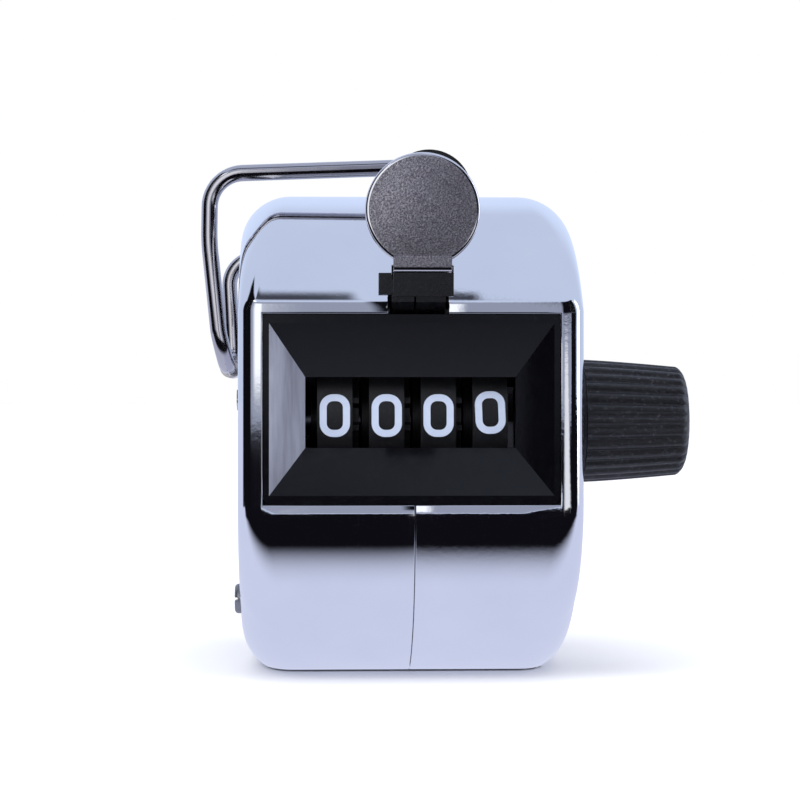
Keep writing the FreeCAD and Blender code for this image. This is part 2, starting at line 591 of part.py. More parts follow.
def make_thumb_pad():
    """Round pressed pad with a neck that ends in a short fold on the block."""
    disc = Part.makeCylinder(PAD_RADIUS, PAD_THICKNESS, Vector(PAD_X, PAD_FRONT_Y, PAD_Z), Vector(0, 1, 0))
    disc = disc.makeFillet(0.3, [edge for edge in disc.Edges if edge.BoundBox.XLength > PAD_RADIUS
                                 and edge.BoundBox.ZLength > PAD_RADIUS])
    neck_front = BLOCK_FRONT_Y - 0.2
    foot_z = BLOCK_HIGH_Z + 0.02
    neck = box(*NECK_X, neck_front, neck_front + NECK_THICKNESS, foot_z, PAD_Z - 3.5)
    fold = box(*NECK_X, neck_front, WEB_FRONT_Y - 0.05, foot_z, foot_z + 0.48)
    keep("thumb_pad", disc.multiFuse([neck, fold]).removeSplitter())


def make_lever():
    make_hub_arm()
    make_lever_head()
    make_thumb_pad()
    keep("lever_left_stem", stem(STEM_LEFT_X, STEM_GAP_X[0]))
    keep("lever_right_stem", stem(STEM_GAP_X[1], STEM_RIGHT_X))
    keep("lever_pivot_shaft", rod(LEFT_PLATE_X - 0.5, RIGHT_PLATE_X + PLATE_THICKNESS + 0.5,
                                  PIVOT_Y, PIVOT_Z, PIVOT_RADIUS))
    keep("lever_return_spring", coil_x(RETURN_SPRING_X, RETURN_SPRING_LENGTH, PIVOT_Y, PIVOT_Z,
                                       HUB_RADIUS + 0.35, 0.22, 6))


def make_drive_pawl():
    """Pawl that hangs from the lever arm behind the ratchet, and its pin."""
    y, z = PAWL_PIN
    x1 = PAWL_X + PAWL_THICKNESS
    shank = bar_yz((y, z), (y + 1.0, z - 6.0), 0.75, PAWL_X, x1)
    head = rod(PAWL_X, x1, y, z, 1.25)
    hook = extrude_yz([(y + 1.4, z - 5.6), (y + 1.0, z - 7.1), (y + 0.1, z - 6.8), (y, z - 5.4)],
                      PAWL_X, x1)
    hole = rod(PAWL_X - 1, x1 + 1, y, z, PAWL_PIN_RADIUS + RUNNING_GAP)
    keep("drive_pawl", head.multiFuse([shank, hook]).cut(hole).removeSplitter())
    keep("drive_pawl_pin", rod(PAWL_X - 0.2, ARM_X + PLATE_THICKNESS + 0.3, y, z, PAWL_PIN_RADIUS))


def make_detent_pawl():
    """No-back pawl in front of the ratchet, on its own pin in the right-hand plate."""
    y, z = DETENT_PIN
    x1 = PAWL_X + PAWL_THICKNESS
    shank = bar_yz((y, z), (y + 1.3, z + 3.9), 0.55, PAWL_X, x1)
    head = rod(PAWL_X, x1, y, z, 1.2)
    hole = rod(PAWL_X - 1, x1 + 1, y, z, PAWL_PIN_RADIUS + RUNNING_GAP)
    keep("detent_pawl", head.fuse(shank).cut(hole).removeSplitter())
    keep("detent_pin", rod(PAWL_X - 0.2, RIGHT_PLATE_X + PLATE_THICKNESS + 0.3, y, z, PAWL_PIN_RADIUS))
    keep("detent_spring", coil_x(x1 + 0.35, 1.2, y, z, 1.0, 0.15, 3))


# ---------------------------------------------------------------- finger ring

def wire_loop(points, radii, wire):
    """Closed loop of round wire: straight runs joined by an arc at each corner."""
    count = len(points)
    bends = []
    pieces = []
    for index, corner in enumerate(points):
        before = (points[index - 1] - corner).normalize()
        after = (points[(index + 1) % count] - corner).normalize()
        half = before.getAngle(after) / 2
        reach = radii[index] / math.tan(half)
        start = corner + before * reach
        end = corner + after * reach
        centre = corner + (before + after).normalize() * (radii[index] / math.sin(half))
        bends.append((start, end))
        section = Part.Face(Part.Wire(Part.makeCircle(wire, start, before)))
        turn = 180 - math.degrees(2 * half)
        pieces.append(section.revolve(centre, after.cross(before), turn))
    for index, (start, end) in enumerate(bends):
        run = bends[(index + 1) % count][0] - end
        pieces.append(Part.makeCylinder(wire, run.Length, end, run))
    return pieces[0].multiFuse(pieces[1:]).removeSplitter()


def make_ring():
    """Wire loop bent over the case's top left corner; its lower side turns in the lug."""
    corners = [
        (RING_HINGE_X, RING_NEAR_Y, RING_HINGE_Z, 2.6),
        (-18.75, RING_NEAR_Y, 33.9, 6.0),
        (-19.7, RING_NEAR_Y, 43.0, 20.0),
        (-19.6, RING_NEAR_Y, 49.75, 3.4),
        (RING_RIGHT_X, RING_NEAR_Y, 50.6, 3.5),
        (RING_RIGHT_X, 5.0, 50.2, 8.0),
        (RING_RIGHT_X, RING_FAR_Y, 45.2, 3.5),
        (-18.6, RING_FAR_Y, 42.45, 3.0),
        (RING_HINGE_X, RING_FAR_Y, RING_HINGE_Z, 2.6),
    ]
    points = [Vector(x, y, z) for x, y, z, _ in corners]
    keep("finger_ring", wire_loop(points, [radius for _, _, _, radius in corners], RING_WIRE_RADIUS))


def make_ring_lug():
    """Folded strap riveted to the left wall, with a tube for the ring's lower side."""
    y0, y1 = LUG_Y
    outer = LUG_BARREL_RADIUS
    along_y = Vector(0, 1, 0)
    barrel = Part.makeCylinder(outer, y1 - y0, Vector(RING_HINGE_X, y0, RING_HINGE_Z), along_y)
    wall_x = -HALF_WIDTH - PRESS_GAP
    strap = box(wall_x - LUG_STRAP, wall_x, y0, y1, LUG_LOW_Z, RING_HINGE_Z + outer)
    bridge = box(RING_HINGE_X, wall_x, y0, y1, RING_HINGE_Z + outer - LUG_STRAP, RING_HINGE_Z + outer)
    bore = Part.makeCylinder(RING_WIRE_RADIUS + RUNNING_GAP, 20,
                             Vector(RING_HINGE_X, 0, RING_HINGE_Z), along_y)
    lug = barrel.multiFuse([strap, bridge]).cut(bore)
    rivets = []
    for y, z in LUG_RIVET_PLACES:
        lug = lug.cut(rod(-HALF_WIDTH - 2, -HALF_WIDTH + 1, y, z, LUG_RIVET_RADIUS + 0.02))
        shank = rod(wall_x - LUG_STRAP - 0.1, -INNER_HALF + 0.1, y, z, LUG_RIVET_RADIUS)
        head = rod(wall_x - LUG_STRAP - 0.5, wall_x - LUG_STRAP - PRESS_GAP, y, z, LUG_RIVET_HEAD_RADIUS)
        tail = rod(-INNER_HALF + PRESS_GAP, -INNER_HALF + 0.4, y, z, LUG_RIVET_HEAD_RADIUS - 0.1)
        rivets.append(shank.multiFuse([head, tail]))
    keep("ring_lug", lug.removeSplitter())
    keep("ring_lug_rivets", Part.makeCompound(rivets))


def main():
    os.makedirs("parts", exist_ok=True)
    make_case()
    make_bezel()
    make_wheels()
    make_pinions()
    make_ratchet()
    make_reset_shaft()
    make_knob()
    make_frame_plates()
    make_posts_and_screws()
    make_lever()
    make_drive_pawl()
    make_detent_pawl()
    make_ring()
    make_ring_lug()
    for name, shape in parts.items():
        shape.exportStep(os.path.join("parts", name + ".step"))
        print(name, len(shape.Solids), shape.isValid(), round(shape.Volume, 2))


main()
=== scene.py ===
import bmesh
import bpy
import math
from mathutils import Matrix, Vector


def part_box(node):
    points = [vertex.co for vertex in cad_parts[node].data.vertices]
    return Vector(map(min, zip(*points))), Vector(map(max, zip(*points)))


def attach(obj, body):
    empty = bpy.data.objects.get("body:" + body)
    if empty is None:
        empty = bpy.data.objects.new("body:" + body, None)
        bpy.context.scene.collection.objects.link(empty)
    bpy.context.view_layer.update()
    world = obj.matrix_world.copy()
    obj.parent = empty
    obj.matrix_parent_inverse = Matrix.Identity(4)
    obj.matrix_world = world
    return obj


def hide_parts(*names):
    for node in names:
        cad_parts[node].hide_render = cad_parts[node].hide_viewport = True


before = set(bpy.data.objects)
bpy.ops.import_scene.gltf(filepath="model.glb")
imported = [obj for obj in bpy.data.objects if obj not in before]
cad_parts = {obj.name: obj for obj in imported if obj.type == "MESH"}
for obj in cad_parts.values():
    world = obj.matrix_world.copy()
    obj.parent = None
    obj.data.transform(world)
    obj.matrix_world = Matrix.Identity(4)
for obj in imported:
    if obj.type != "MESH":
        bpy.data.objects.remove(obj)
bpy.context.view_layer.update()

# Metres.  Lengths below are written in millimetres times MM.
MM = 0.001

# ---- places taken from the frame ----
CASE_LOW, CASE_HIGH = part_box("left_case_shell")
WHEEL_LOW, WHEEL_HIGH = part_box("units_wheel")
KNOB_LOW, KNOB_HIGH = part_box("reset_knob")
PAD_LOW, PAD_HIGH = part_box("thumb_pad")
HEAD_LOW, HEAD_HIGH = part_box("lever_head")
HALF_WIDTH = -CASE_LOW.x
DRUM_RADIUS = CASE_HIGH.y
DRUM_Z = CASE_HIGH.z - DRUM_RADIUS
FRONT_Y = CASE_LOW.y
SHAFT_Y = (WHEEL_LOW.y + WHEEL_HIGH.y) / 2
SHAFT_Z = (WHEEL_LOW.z + WHEEL_HIGH.z) / 2
WHEEL_RADIUS = (WHEEL_HIGH.z - WHEEL_LOW.z) / 2

# ---- case shape ----
SHEET = 0.8 * MM
SEAM_X = 0.3 * MM
SEAM_GAP = 0.06 * MM
BEND_RADIUS = 15.0 * MM
TOP_EDGE_RADIUS = 2.4 * MM
RIM_RADIUS = 5.2 * MM
FRONT_RIM_RADIUS = 2.2 * MM
WINDOW_LOW_Z = 17.25 * MM
WINDOW_HIGH_Z = 35.35 * MM
WINDOW_INSET = 0.2 * MM         # from the window's side to where the rim rounding starts
SLOT_LEFT_X = -2.25 * MM
SLOT_RIGHT_X = 3.45 * MM
SLOT_TOP_Z = 39.3 * MM
SIDE_WALL_RING = 0.96           # flat side wall: size of its outer ring, as a share of the outline

# ---- number wheels ----
WHEEL_NAMES = ["thousands", "hundreds", "tens", "units"]
WHEEL_PITCH = 5.0 * MM
THOUSANDS_X = -7.25 * MM        # middle of the thousands wheel's print


# ---------------------------------------------------------------- materials

class Look:
    """A procedural material under construction."""

    def __init__(self, name):
        self.material = bpy.data.materials.new(name)
        self.material.use_nodes = True
        self.nodes = self.material.node_tree.nodes
        self.links = self.material.node_tree.links
        self.shader = self.nodes["Principled BSDF"]
        self.place = self.nodes.new("ShaderNodeTexCoord").outputs["Object"]
        self.bump_normal = None
        self.base = None

    def set(self, **values):
        for socket, value in values.items():
            self.shader.inputs[socket.replace("_", " ")].default_value = value

    def stretched(self, scale):
        mapping = self.nodes.new("ShaderNodeMapping")
        mapping.inputs["Scale"].default_value = scale
        self.links.new(self.place, mapping.inputs["Vector"])
        return mapping.outputs["Vector"]

    def noise(self, size, detail=3.0, roughness=0.5, stretch=None):
        """Noise whose blotches are about size metres across."""
        texture = self.nodes.new("ShaderNodeTexNoise")
        texture.inputs["Scale"].default_value = 1.0 / size
        texture.inputs["Detail"].default_value = detail
        texture.inputs["Roughness"].default_value = roughness
        self.links.new(self.stretched(stretch) if stretch else self.place, texture.inputs["Vector"])
        return texture.outputs["Fac"]

    def ramp(self, value, low, high, start=0.0, end=1.0):
        """Value between low and high, spread over start to end."""
        node = self.nodes.new("ShaderNodeMapRange")
        node.inputs["From Min"].default_value = low
        node.inputs["From Max"].default_value = high
        node.inputs["To Min"].default_value = start
        node.inputs["To Max"].default_value = end
        self.links.new(value, node.inputs["Value"])
        return node.outputs["Result"]

    def colour(self, value, dark, light):
        """Base colour that runs from dark to light with value."""
        mix = self.nodes.new("ShaderNodeMix")
        mix.data_type = "RGBA"
        mix.inputs[6].default_value = (*dark, 1.0)
        mix.inputs[7].default_value = (*light, 1.0)
        self.links.new(value, mix.inputs[0])
        self.base = mix.outputs[2]
        self.links.new(self.base, self.shader.inputs["Base Color"])

    def over(self, mask, colour):
        """Lay another colour over the base colour where the mask is 1."""
        mix = self.nodes.new("ShaderNodeMix")
        mix.data_type = "RGBA"
        mix.inputs[7].default_value = (*colour, 1.0)
        self.links.new(mask, mix.inputs[0])
        self.links.new(self.base, mix.inputs[6])
        self.base = mix.outputs[2]
        self.links.new(self.base, self.shader.inputs["Base Color"])

    def facing(self, axis):
        """How much a face of the piece looks along +X (axis 0), +Y (1) or +Z (2)."""
        split = self.nodes.new("ShaderNodeSeparateXYZ")
        coordinates = self.nodes.new("ShaderNodeTexCoord")
        self.links.new(coordinates.outputs["Normal"], split.inputs[0])
        return split.outputs[axis]

    def product(self, first, second):
        node = self.nodes.new("ShaderNodeMath")
        node.operation = "MULTIPLY"
        self.links.new(first, node.inputs[0])
        self.links.new(second, node.inputs[1])
        return node.outputs[0]

    def roughness(self, value):
        self.links.new(value, self.shader.inputs["Roughness"])

    def bump(self, value, depth, strength=1.0):
        """Add a bump layer, depth in metres."""
        node = self.nodes.new("ShaderNodeBump")
        node.inputs["Strength"].default_value = strength
        node.inputs["Distance"].default_value = depth
        self.links.new(value, node.inputs["Height"])
        if self.bump_normal:
            self.links.new(self.bump_normal, node.inputs["Normal"])
        self.bump_normal = node.outputs["Normal"]
        self.links.new(self.bump_normal, self.shader.inputs["Normal"])

    def added(self, first, second):
        node = self.nodes.new("ShaderNodeMath")
        node.operation = "ADD"
        self.links.new(first, node.inputs[0])
        self.links.new(second, node.inputs[1])
        return node.outputs[0]


def chrome_look(name, dark, light, smooth, rough, wave, peel=0.0012 * MM):
    """Plated metal: slight waviness, an orange-peel skin and fine scratches."""
    look = Look(name)
    look.set(Metallic=1.0)
    look.colour(look.noise(6 * MM, 2.0), dark, light)
    smudges = look.ramp(look.noise(4 * MM, 4.0, 0.6), 0.35, 0.75, smooth, rough)
    scratches = look.ramp(look.noise(0.25 * MM, 2.0, 0.5, (1.0, 1.0, 0.04)), 0.62, 0.75, 0.0, 0.05)
    look.roughness(look.added(smudges, scratches))
    look.bump(look.noise(7 * MM, 1.0), wave)
    look.bump(look.noise(0.5 * MM, 2.0), peel)
    return look.material


def make_pad_face():
    """Satin grained metal with bright specks."""
    look = Look("pad_satin_metal")
    look.set(Metallic=0.9)
    grain = look.noise(0.16 * MM, 3.0, 0.65)
    look.colour(look.ramp(grain, 0.40, 0.68), (0.15, 0.14, 0.17), (0.44, 0.43, 0.47))
    look.roughness(look.ramp(grain, 0.3, 0.7, 0.42, 0.26))
    look.bump(look.noise(0.22 * MM, 4.0, 0.6), 0.03 * MM)
    return look.material


def black_look(name, dark, light, smooth, rough, grain, depth):
    """Black moulding or black finish with grain and faint dust."""
    look = Look(name)
    dust = look.ramp(look.noise(0.35 * MM, 4.0, 0.7), 0.55, 0.80)
    look.colour(dust, dark, light)
    look.roughness(look.ramp(look.noise(1.5 * MM, 3.0), 0.3, 0.7, smooth, rough))
    look.bump(look.noise(grain, 3.0, 0.6), depth)
    return look.material


def make_bezel_black():
    """Glossy black moulding; the left bevel, which faces the thumb side, is painted a streaky grey-lavender
    sheen that stands in for the light it catches from the right.
    """
    look = Look("bezel_black")
    look.set(Specular_IOR_Level=0.28)
    dust = look.ramp(look.noise(0.35 * MM, 4.0, 0.7), 0.58, 0.80)
    look.colour(dust, (0.0022, 0.0022, 0.0032), (0.008, 0.008, 0.011))
    # painted sheen: faces turned towards +X, which is the left bevel, are lightened to grey-lavender in
    # vertical streaks in place of a lit reflection
    side = look.facing(0)
    bevel = look.product(look.ramp(side, 0.45, 0.60), look.ramp(side, 0.95, 0.80))
    painted_sheen_streaks = look.ramp(look.noise(1.3 * MM, 3.0, 0.6, (1.0, 1.0, 0.12)), 0.30, 0.72, 0.55, 1.0)
    look.over(look.product(bevel, painted_sheen_streaks), (0.30, 0.315, 0.40))
    look.roughness(look.ramp(look.noise(1.5 * MM, 3.0), 0.3, 0.7, 0.08, 0.18))
    look.bump(look.noise(0.6 * MM, 3.0, 0.6), 0.003 * MM)
    return look.material


def make_digit_print():
    """Matt pale ink."""
    look = Look("digit_print_ink")
    look.colour(look.noise(0.6 * MM, 3.0), (0.46, 0.53, 0.70), (0.56, 0.63, 0.78))
    look.roughness(look.ramp(look.noise(0.4 * MM, 2.0), 0.3, 0.7, 0.45, 0.6))
    look.bump(look.noise(0.15 * MM, 2.0), 0.004 * MM)
    return look.material


def metal_look(name, dark, light, smooth, rough, along):
    """Machined or stamped metal with fine lines; along stretches them."""
    look = Look(name)
    look.set(Metallic=1.0)
    lines = look.noise(0.3 * MM, 3.0, 0.6, along)
    look.colour(lines, dark, light)
    look.roughness(look.ramp(lines, 0.3, 0.7, smooth, rough))
    look.bump(lines, 0.006 * MM)
    return look.material


CASE_CHROME = chrome_look("case_chrome", (0.78, 0.80, 0.86), (0.86, 0.87, 0.91), 0.03, 0.075, 0.010 * MM)
RIGHT_CHROME = chrome_look("right_case_chrome", (0.78, 0.80, 0.86), (0.86, 0.87, 0.91), 0.03, 0.075,
                           0.010 * MM, 0.004 * MM)
RING_CHROME = chrome_look("ring_chrome", (0.46, 0.44, 0.47), (0.60, 0.585, 0.61), 0.08, 0.18, 0.004 * MM)
RIM_CHROME = chrome_look("pad_rim_chrome", (0.72, 0.71, 0.74), (0.84, 0.83, 0.86), 0.08, 0.16, 0.002 * MM)
PAD_FACE = make_pad_face()
BEZEL_BLACK = make_bezel_black()
KNOB_BLACK = black_look("knob_black", (0.007, 0.007, 0.010), (0.060, 0.062, 0.080), 0.34, 0.52,
                        0.25 * MM, 0.025 * MM)
WHEEL_BLACK = black_look("wheel_black", (0.004, 0.004, 0.006), (0.020, 0.020, 0.026), 0.35, 0.5,
                         0.2 * MM, 0.008 * MM)
LEVER_BLACK = black_look("lever_black", (0.002, 0.002, 0.003), (0.012, 0.012, 0.016), 0.22, 0.40,
                         0.2 * MM, 0.012 * MM)
DIGIT_PRINT = make_digit_print()
STEEL = metal_look("mechanism_steel", (0.38, 0.38, 0.40), (0.56, 0.56, 0.58), 0.25, 0.42, (1.0, 1.0, 0.1))
SCREW_STEEL = metal_look("screw_steel", (0.20, 0.20, 0.22), (0.36, 0.36, 0.38), 0.28, 0.45, (1.0, 0.2, 1.0))
BRASS = metal_look("brass", (0.55, 0.40, 0.18), (0.76, 0.60, 0.32), 0.22, 0.40, (1.0, 0.3, 1.0))


# ---------------------------------------------------------------- mesh helpers

def mesh_object(name, points, faces, materials):
    mesh = bpy.data.meshes.new(name)
    mesh.from_pydata(points, [], faces)
    for material in materials:
        mesh.materials.append(material)
    piece = bpy.data.objects.new(name, mesh)
    bpy.context.scene.collection.objects.link(piece)
    return piece


def smooth(piece, degrees):
    """Smooth shading, with edges sharper than this angle left sharp."""
    mesh = piece.data
    mesh.polygons.foreach_set("use_smooth", [True] * len(mesh.polygons))
    mesh.set_sharp_from_angle(angle=math.radians(degrees))


def add_bevel(piece, width, segments=2, degrees=40):
    bevel = piece.modifiers.new("rounded_edges", "BEVEL")
    bevel.width = width
    bevel.segments = segments
    bevel.limit_method = "ANGLE"
    bevel.angle_limit = math.radians(degrees)
    bevel.harden_normals = True
    bevel.use_clamp_overlap = True
    return bevel


def apply_modifiers(piece):
    """Bake the modifiers into the mesh."""
    graph = bpy.context.evaluated_depsgraph_get()
    baked = bpy.data.meshes.new_from_object(piece.evaluated_get(graph))
    piece.modifiers.clear()
    piece.data = baked


def fix_normals(piece):
    """Make every face point outwards."""
    work = bmesh.new()
    work.from_mesh(piece.data)
    bmesh.ops.recalc_face_normals(work, faces=work.faces)
    work.to_mesh(piece.data)
    work.free()


def settle(piece, body, slot, *nodes):
    """The piece rides on a body and stands for CAD nodes; slot is not used."""
    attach(piece, body)
    if nodes:
        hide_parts(*nodes)


def paint(node, material):
    """Give a CAD node its material."""
    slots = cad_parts[node].material_slots
    for slot in slots:
        slot.material = material


def arc(centre, radius, start, end, steps):
    """Points on an arc, angles in degrees, both ends included."""
    points = []
    for step in range(steps + 1):
        angle = math.radians(start + (end - start) * step / steps)
        points.append((centre[0] + radius * math.cos(angle), centre[1] + radius * math.sin(angle)))
    return points


# ---------------------------------------------------------------- case shells

def case_rows():
    """Rows round the case in the YZ plane: (place, outward direction, rim radius)."""
    bend_y = FRONT_Y + BEND_RADIUS
    bend_z = DRUM_Z - math.sqrt((DRUM_RADIUS - BEND_RADIUS) ** 2 - bend_y ** 2)
    edge_y = FRONT_Y + TOP_EDGE_RADIUS
    edge_z = DRUM_Z + math.sqrt((DRUM_RADIUS - TOP_EDGE_RADIUS) ** 2 - edge_y ** 2)
    edge_angle = math.degrees(math.atan2(edge_z - DRUM_Z, edge_y))
    bend_angle = math.degrees(math.atan2(bend_z - DRUM_Z, bend_y)) + 360
    slot_angle = 180 - math.degrees(math.asin((SLOT_TOP_Z - DRUM_Z) / DRUM_RADIUS))
    edge_rows = 8
    slot_rows = 4
    crown_rows = 26
    back_rows = 100
    bend_rows = 26
    rows = []

    def add(centre, radius, angle, rim):
        direction = (math.cos(math.radians(angle)), math.sin(math.radians(angle)))
        place = (centre[0] + radius * direction[0], centre[1] + radius * direction[1])
        rows.append((place, direction, rim))

    def sweep(centre, radius, start, end, steps, rim_start, rim_end):
        for step in range(steps):
            share = step / steps
            add(centre, radius, start + (end - start) * share, rim_start + (rim_end - rim_start) * share)

    beside_window = [z * MM for z in range(20, 33, 3)]
    for z in [bend_z, WINDOW_LOW_Z] + beside_window + [WINDOW_HIGH_Z]:
        rows.append(((FRONT_Y, z), (-1.0, 0.0), FRONT_RIM_RADIUS))
    sweep((edge_y, edge_z), TOP_EDGE_RADIUS, 180, edge_angle, edge_rows, FRONT_RIM_RADIUS, FRONT_RIM_RADIUS)
    share = (edge_angle - slot_angle) / (edge_angle - 90)
    slot_rim = FRONT_RIM_RADIUS + (RIM_RADIUS - FRONT_RIM_RADIUS) * share
    drum = (0.0, DRUM_Z)
    sweep(drum, DRUM_RADIUS, edge_angle, slot_angle, slot_rows, FRONT_RIM_RADIUS, slot_rim)
    sweep(drum, DRUM_RADIUS, slot_angle, 90, crown_rows, slot_rim, RIM_RADIUS)
    sweep(drum, DRUM_RADIUS, 90, bend_angle - 360, back_rows, RIM_RADIUS, RIM_RADIUS)
    sweep((bend_y, bend_z), BEND_RADIUS, bend_angle, 180, bend_rows, RIM_RADIUS, FRONT_RIM_RADIUS)
    return rows


def case_half(name, side, slot_x):
    """One case shell; side is -1 for the left half and +1 for the right half.

    Each row runs from the seam across the front, round the rim and onto the flat side wall.  The
    window and the lever's slot are left open.
    """
    rows = case_rows()
    rim_steps = 12
    slot_columns = 1
    window_columns = 4
    slack = 1e-7
    seam = SEAM_X + side * SEAM_GAP / 2
    points = []
    for (y, z), (out_y, out_z), rim in rows:
        flat_end = HALF_WIDTH - rim
        edge = flat_end - WINDOW_INSET
        start = side * slot_x
        for x in (side * seam, start, start + (edge - start) * 0.33, start + (edge - start) * 0.66, edge):
            points.append((side * x, y, z))
        for step in range(rim_steps + 1):
            angle = math.radians(90.0 * step / rim_steps)
            drop = rim * (1 - math.cos(angle))
            points.append((side * (flat_end + rim * math.sin(angle)), y - out_y * drop, z - out_z * drop))
        inner = (y - out_y * rim, z - out_z * rim)
        points.append((side * HALF_WIDTH, inner[0] * SIDE_WALL_RING,
                       DRUM_Z + (inner[1] - DRUM_Z) * SIDE_WALL_RING))
    points = [(x, y, max(z, 0.0)) for x, y, z in points]
    across = len(points) // len(rows)
    faces = []
    for row, ((y, z), direction, rim) in enumerate(rows):
        following = (row + 1) % len(rows)
        next_z = rows[following][0][1]
        on_front = y < -0.4 * DRUM_RADIUS
        in_window = direction[0] == -1.0 and z >= WINDOW_LOW_Z - slack and next_z <= WINDOW_HIGH_Z + slack
        in_slot = on_front and z >= WINDOW_HIGH_Z - slack and next_z <= SLOT_TOP_Z + slack
        for column in range(across - 1):
            if in_window and column < window_columns:
                continue
            if in_slot and column < slot_columns:
                continue
            corner = row * across + column
            above = following * across + column
            quad = (corner, corner + 1, above + 1, above)
            faces.append(quad if side > 0 else quad[::-1])
    # the rest of the side wall is a fan about the drum's centre
    middle = len(points)
    points.append((side * HALF_WIDTH, 0.0, DRUM_Z))
    for row in range(len(rows)):
        here = row * across + across - 1
        there = (row + 1) % len(rows) * across + across - 1
        faces.append((here, middle, there) if side > 0 else (there, middle, here))
    piece = mesh_object(name, points, faces, [CASE_CHROME if side < 0 else RIGHT_CHROME])
    thickness = piece.modifiers.new("sheet", "SOLIDIFY")
    thickness.thickness = SHEET
    thickness.offset = -1.0
    smooth(piece, 12)
    apply_modifiers(piece)
    add_bevel(piece, 0.10 * MM, 3, 50).harden_normals = False
    return piece


def make_case():
    """Both case shells and the lip that closes the seam between them."""
    left = case_half("left_case_shell_chrome", -1, SLOT_LEFT_X)
    settle(left, "case", "case_chrome", "left_case_shell")
    right = case_half("right_case_shell_chrome", 1, SLOT_RIGHT_X)
    settle(right, "case", "case_chrome", "right_case_shell")
    make_seam_lip()


def make_seam_lip():
    """Inner lip of the left shell that the right shell closes over, so that no light passes the seam."""
    below_window = WINDOW_LOW_Z - 0.3 * MM
    left_x = SEAM_X - 1.0 * MM
    right_x = SEAM_X + 0.8 * MM
    rows = case_rows()
    rows = [row for row in rows[1:] + rows[:1]
            if row[0][0] > 0 or row[0][1] > SLOT_TOP_Z or row[0][1] < below_window]
    outer = SHEET + 0.02 * MM
    inner = outer + 0.25 * MM
    points = []
    for (y, z), (out_y, out_z), rim in rows:
        for x in (left_x, right_x):
            for depth in (outer, inner):
                points.append((x, y - out_y * depth, max(z - out_z * depth, depth)))
    faces = []
    for index in range(len(rows) - 1):
        here = 4 * index
        for low, high in ((0, 1), (1, 3), (3, 2), (2, 0)):
            faces.append((here + low, here + high, here + 4 + high, here + 4 + low))
    end = 4 * (len(rows) - 1)
    faces.append((0, 1, 3, 2))
    faces.append((end, end + 2, end + 3, end + 1))
    lip = mesh_object("left_case_seam_lip", points, faces, [STEEL])
    fix_normals(lip)
    smooth(lip, 30)
    settle(lip, "case", "case_chrome")


# ---------------------------------------------------------------- digits

STROKE = 0.68 * MM
DIGIT_HALF_WIDTH = 1.12 * MM
DIGIT_HALF_HEIGHT = 1.73 * MM
PRINT_HEIGHT = 0.04 * MM


def strokes(digit):
    """Centre lines of a digit's strokes: (points, closed) pairs, x to the right and y up."""
    a = DIGIT_HALF_WIDTH
    b = DIGIT_HALF_HEIGHT
    if digit == 0:
        r = 0.86 * a
        corners = [((a - r, b - r), 90, 0), ((a - r, r - b), 0, -90),
                   ((r - a, r - b), -90, -180), ((r - a, b - r), 180, 90)]
        return [([p for centre, s, e in corners for p in arc(centre, r, s, e, 7)], True)]
    if digit == 1:
        return [([(0.15 * a, b), (0.15 * a, -b)], False), ([(-0.65 * a, 0.5 * b), (0.15 * a, b)], False)]
    if digit == 2:
        top = arc((0, b - a), a, 165, -25, 14)
        return [(top + [(-a, -b), (a, -b)], False)]
    if digit == 3:
        r = b / 2
        return [(arc((0, b - r), r, 150, -90, 14), False), (arc((0, r - b), r, 90, -150, 14), False)]
    if digit == 4:
        return [([(0.45 * a, -b), (0.45 * a, b), (-a, -0.35 * b), (a, -0.35 * b)], False)]
    if digit == 5:
        bowl = arc((-0.05 * a, a - b), a, 130, -150, 16)
        return [([(0.9 * a, b), (-0.75 * a, b)] + bowl, False)]
    if digit == 6:
        loop = arc((0, a - b), a, 180, -180, 24)
        back = arc((a, a - b), 2 * a, 180, 118, 8)
        return [(loop[:-1], True), (back, False)]
    if digit == 7:
        return [([(-a, b), (a, b), (-0.35 * a, -b)], False)]
    if digit == 8:
        high = 0.47 * b
        low = b - high
        return [(arc((0, b - high), high, 90, -270, 20)[:-1], True),
                (arc((0, low - b), low, 90, -270, 22)[:-1], True)]
    turned = []
    for points, closed in strokes(6):
        turned.append(([(-x, -y) for x, y in points], closed))
    return turned


def ribbon(points, closed):
    """Left and right edge points of a stroke with mitred bends."""
    left = []
    right = []
    count = len(points)
    for index, (x, y) in enumerate(points):
        before = points[index - 1] if closed or index else points[0]
        after = points[(index + 1) % count] if closed or index < count - 1 else points[-1]
        way_in = Vector((x - before[0], y - before[1]))
        way_out = Vector((after[0] - x, after[1] - y))
        way_in = way_in.normalized() if way_in.length else way_out.normalized()
        way_out = way_out.normalized() if way_out.length else way_in
        along = (way_in + way_out).normalized()
        reach = STROKE / 2 / max(along.dot(way_in), 0.5)
        left.append((x - along.y * reach, y + along.x * reach))
        right.append((x + along.y * reach, y - along.x * reach))
    return left, right


